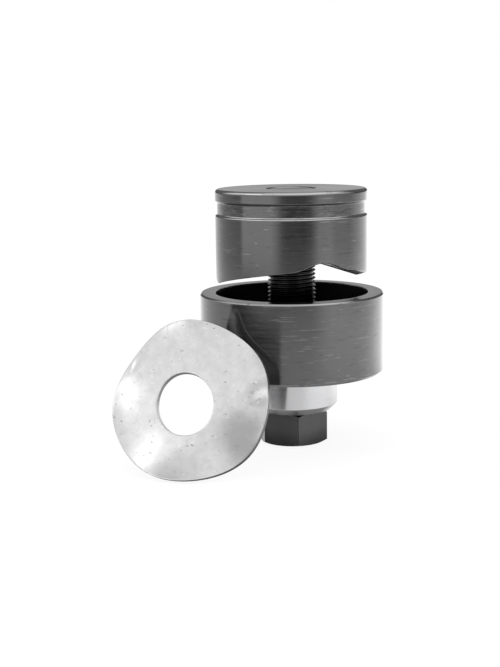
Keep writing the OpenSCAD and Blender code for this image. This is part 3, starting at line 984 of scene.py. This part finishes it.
def panel_row(levels):
    """A colour ramp round the tent, from a list of (azimuth, glow)."""
    ramp = w.add("ShaderNodeValToRGB", {"Fac": round_about})
    stops = ramp.color_ramp.elements
    stops.remove(stops[0])
    for i, (angle, level) in enumerate(levels):
        stop = stops[0] if i == 0 else stops.new((angle + 180) / 360)
        stop.position = (angle + 180) / 360
        stop.color = glow_colour(level)
    return ramp.outputs["Color"]


walls = panel_row(TABLE_ROW)
for row, low_edge, high_edge in ROWS:
    walls = w.mix_colour(w.remap(elevation, low_edge, high_edge, smooth=True), walls, panel_row(row))
walls = w.mix_colour(w.remap(elevation, 66.0, 78.0, smooth=True), walls, glow_colour(ROOF_GLOW))
walls = w.mix_colour(w.remap(elevation, -32.0, -46.0, smooth=True), walls, glow_colour(SHADOW_GLOW))
print("tent:", tent.name, [round(v, 1) for v in tent.dimensions], "m")

# %% The cards, the panel and the window
CARD_GLOW, PANEL_GLOW, WINDOW_GLOW = 0.0, 0.8, 1.5
DIP_FROM = -47.0                        # the azimuth where a dipping panel has its stated elevation


def slanted_panel(walls, glow, rows, left, right, soft, dip=0.0):
    """A panel between two elevations, whose sides are (azimuth at its foot, degrees per degree up)."""
    low_start, low_end, high_start, high_end = rows
    level = w.plus(elevation, w.times(w.math("SUBTRACT", azimuth, DIP_FROM), dip))
    up = w.times(w.remap(level, low_start, low_end, smooth=True),
                 w.remap(level, high_end, high_start, smooth=True))
    for (edge, slope), way in ((left, 1), (right, -1)):
        side = w.math("SUBTRACT", azimuth, w.times(w.math("SUBTRACT", elevation, low_end), slope))
        up = w.times(up, w.remap(side, edge - soft * way, edge + soft * way, smooth=True))
    return w.mix_colour(up, walls, glow_colour(glow))


# A dark card leans on the left, in front: it draws the dark band down the die and the bearing.
walls = slanted_panel(walls, CARD_GLOW, (-13.2, -12.6, -10.0, -9.4), (-78, 0), (-14, 0), 2.5)
walls = slanted_panel(walls, CARD_GLOW, (-10.0, -9.4, -6.6, -5.0), (-78, 0), (-13, -14.5), 3)
# A small panel below it lights the foot.
walls = slanted_panel(walls, PANEL_GLOW, (-24.0, -20.0, -13.4, -12.8), (-36, 0), (-15, 0), 2)
# A slanting window, high on the left: it draws the white patches on the slug.
walls = slanted_panel(walls, WINDOW_GLOW, (30.0, 32.8, 41.0, 46.0), (-82, 0), (-46, -0.5), 2.5, 0.11)
w.add("ShaderNodeOutputMaterial", {"Surface": w.add(
    "ShaderNodeEmission", {"Color": walls, "Strength": BRIGHTEST}).outputs[0]})
tent.data.materials.append(panels)
print("tent finish:", panels.name)

# %% Soft boxes and sky
def soft_box(name, azimuth, elevation, distance, size, watts):
    a, e = math.radians(azimuth), math.radians(elevation)
    away = Vector((math.sin(a) * math.cos(e), -math.cos(a) * math.cos(e), math.sin(e)))
    light = bpy.data.lights.new(name, "AREA")
    light.shape, light.size, light.size_y, light.energy = "RECTANGLE", size[0], size[1], watts
    box = bpy.data.objects.new(name, light)
    bpy.context.scene.collection.objects.link(box)
    box.location = away * distance + LIGHT_CENTRE
    box.rotation_euler = away.to_track_quat("Z", "Y").to_euler()
    print(f"{name}: {size[0]} x {size[1]} m, {watts} W")


soft_box("top_box", azimuth=180, elevation=78, distance=0.9, size=(0.7, 0.7), watts=1.2)
soft_box("left_box", azimuth=-60, elevation=52, distance=1.0, size=(0.35, 0.4), watts=0.6)
world = bpy.data.worlds.new("white room")
bpy.context.scene.world = world
world.use_nodes = True
sky = world.node_tree.nodes["Background"].inputs
sky["Color"].default_value = grey(1)
sky["Strength"].default_value = 1.0
bpy.context.scene.view_settings.view_transform = "Standard"

# %% The camera
# It stands half a metre in front of the bolt's axis, a little above the tool's top, and looks
# slightly down and to the left.
CAMERA_AWAY, CAMERA_HEIGHT, LENS = 0.50047, 0.1301, 68.26
PAN, TILT, ROLL = math.radians(-1.933), math.radians(9.817), math.radians(-0.772)
ahead = Vector((math.sin(PAN) * math.cos(TILT), math.cos(PAN) * math.cos(TILT), -math.sin(TILT)))
right = Vector((math.cos(PAN), -math.sin(PAN), 0))
above = right.cross(ahead)
rolled_right = math.cos(ROLL) * right + math.sin(ROLL) * above
rolled_above = math.cos(ROLL) * above - math.sin(ROLL) * right
camera_data = bpy.data.cameras.new("camera")
camera_data.lens, camera_data.sensor_width = LENS, 36.0
camera = bpy.data.objects.new("camera", camera_data)
bpy.context.scene.collection.objects.link(camera)
turned = Matrix((rolled_right, rolled_above, -ahead)).transposed().to_4x4()
camera.matrix_world = Matrix.Translation((0, -CAMERA_AWAY, CAMERA_HEIGHT)) @ turned
bpy.context.scene.camera = camera
print("camera at", [round(v, 3) for v in camera.location], "m, lens", LENS, "mm")
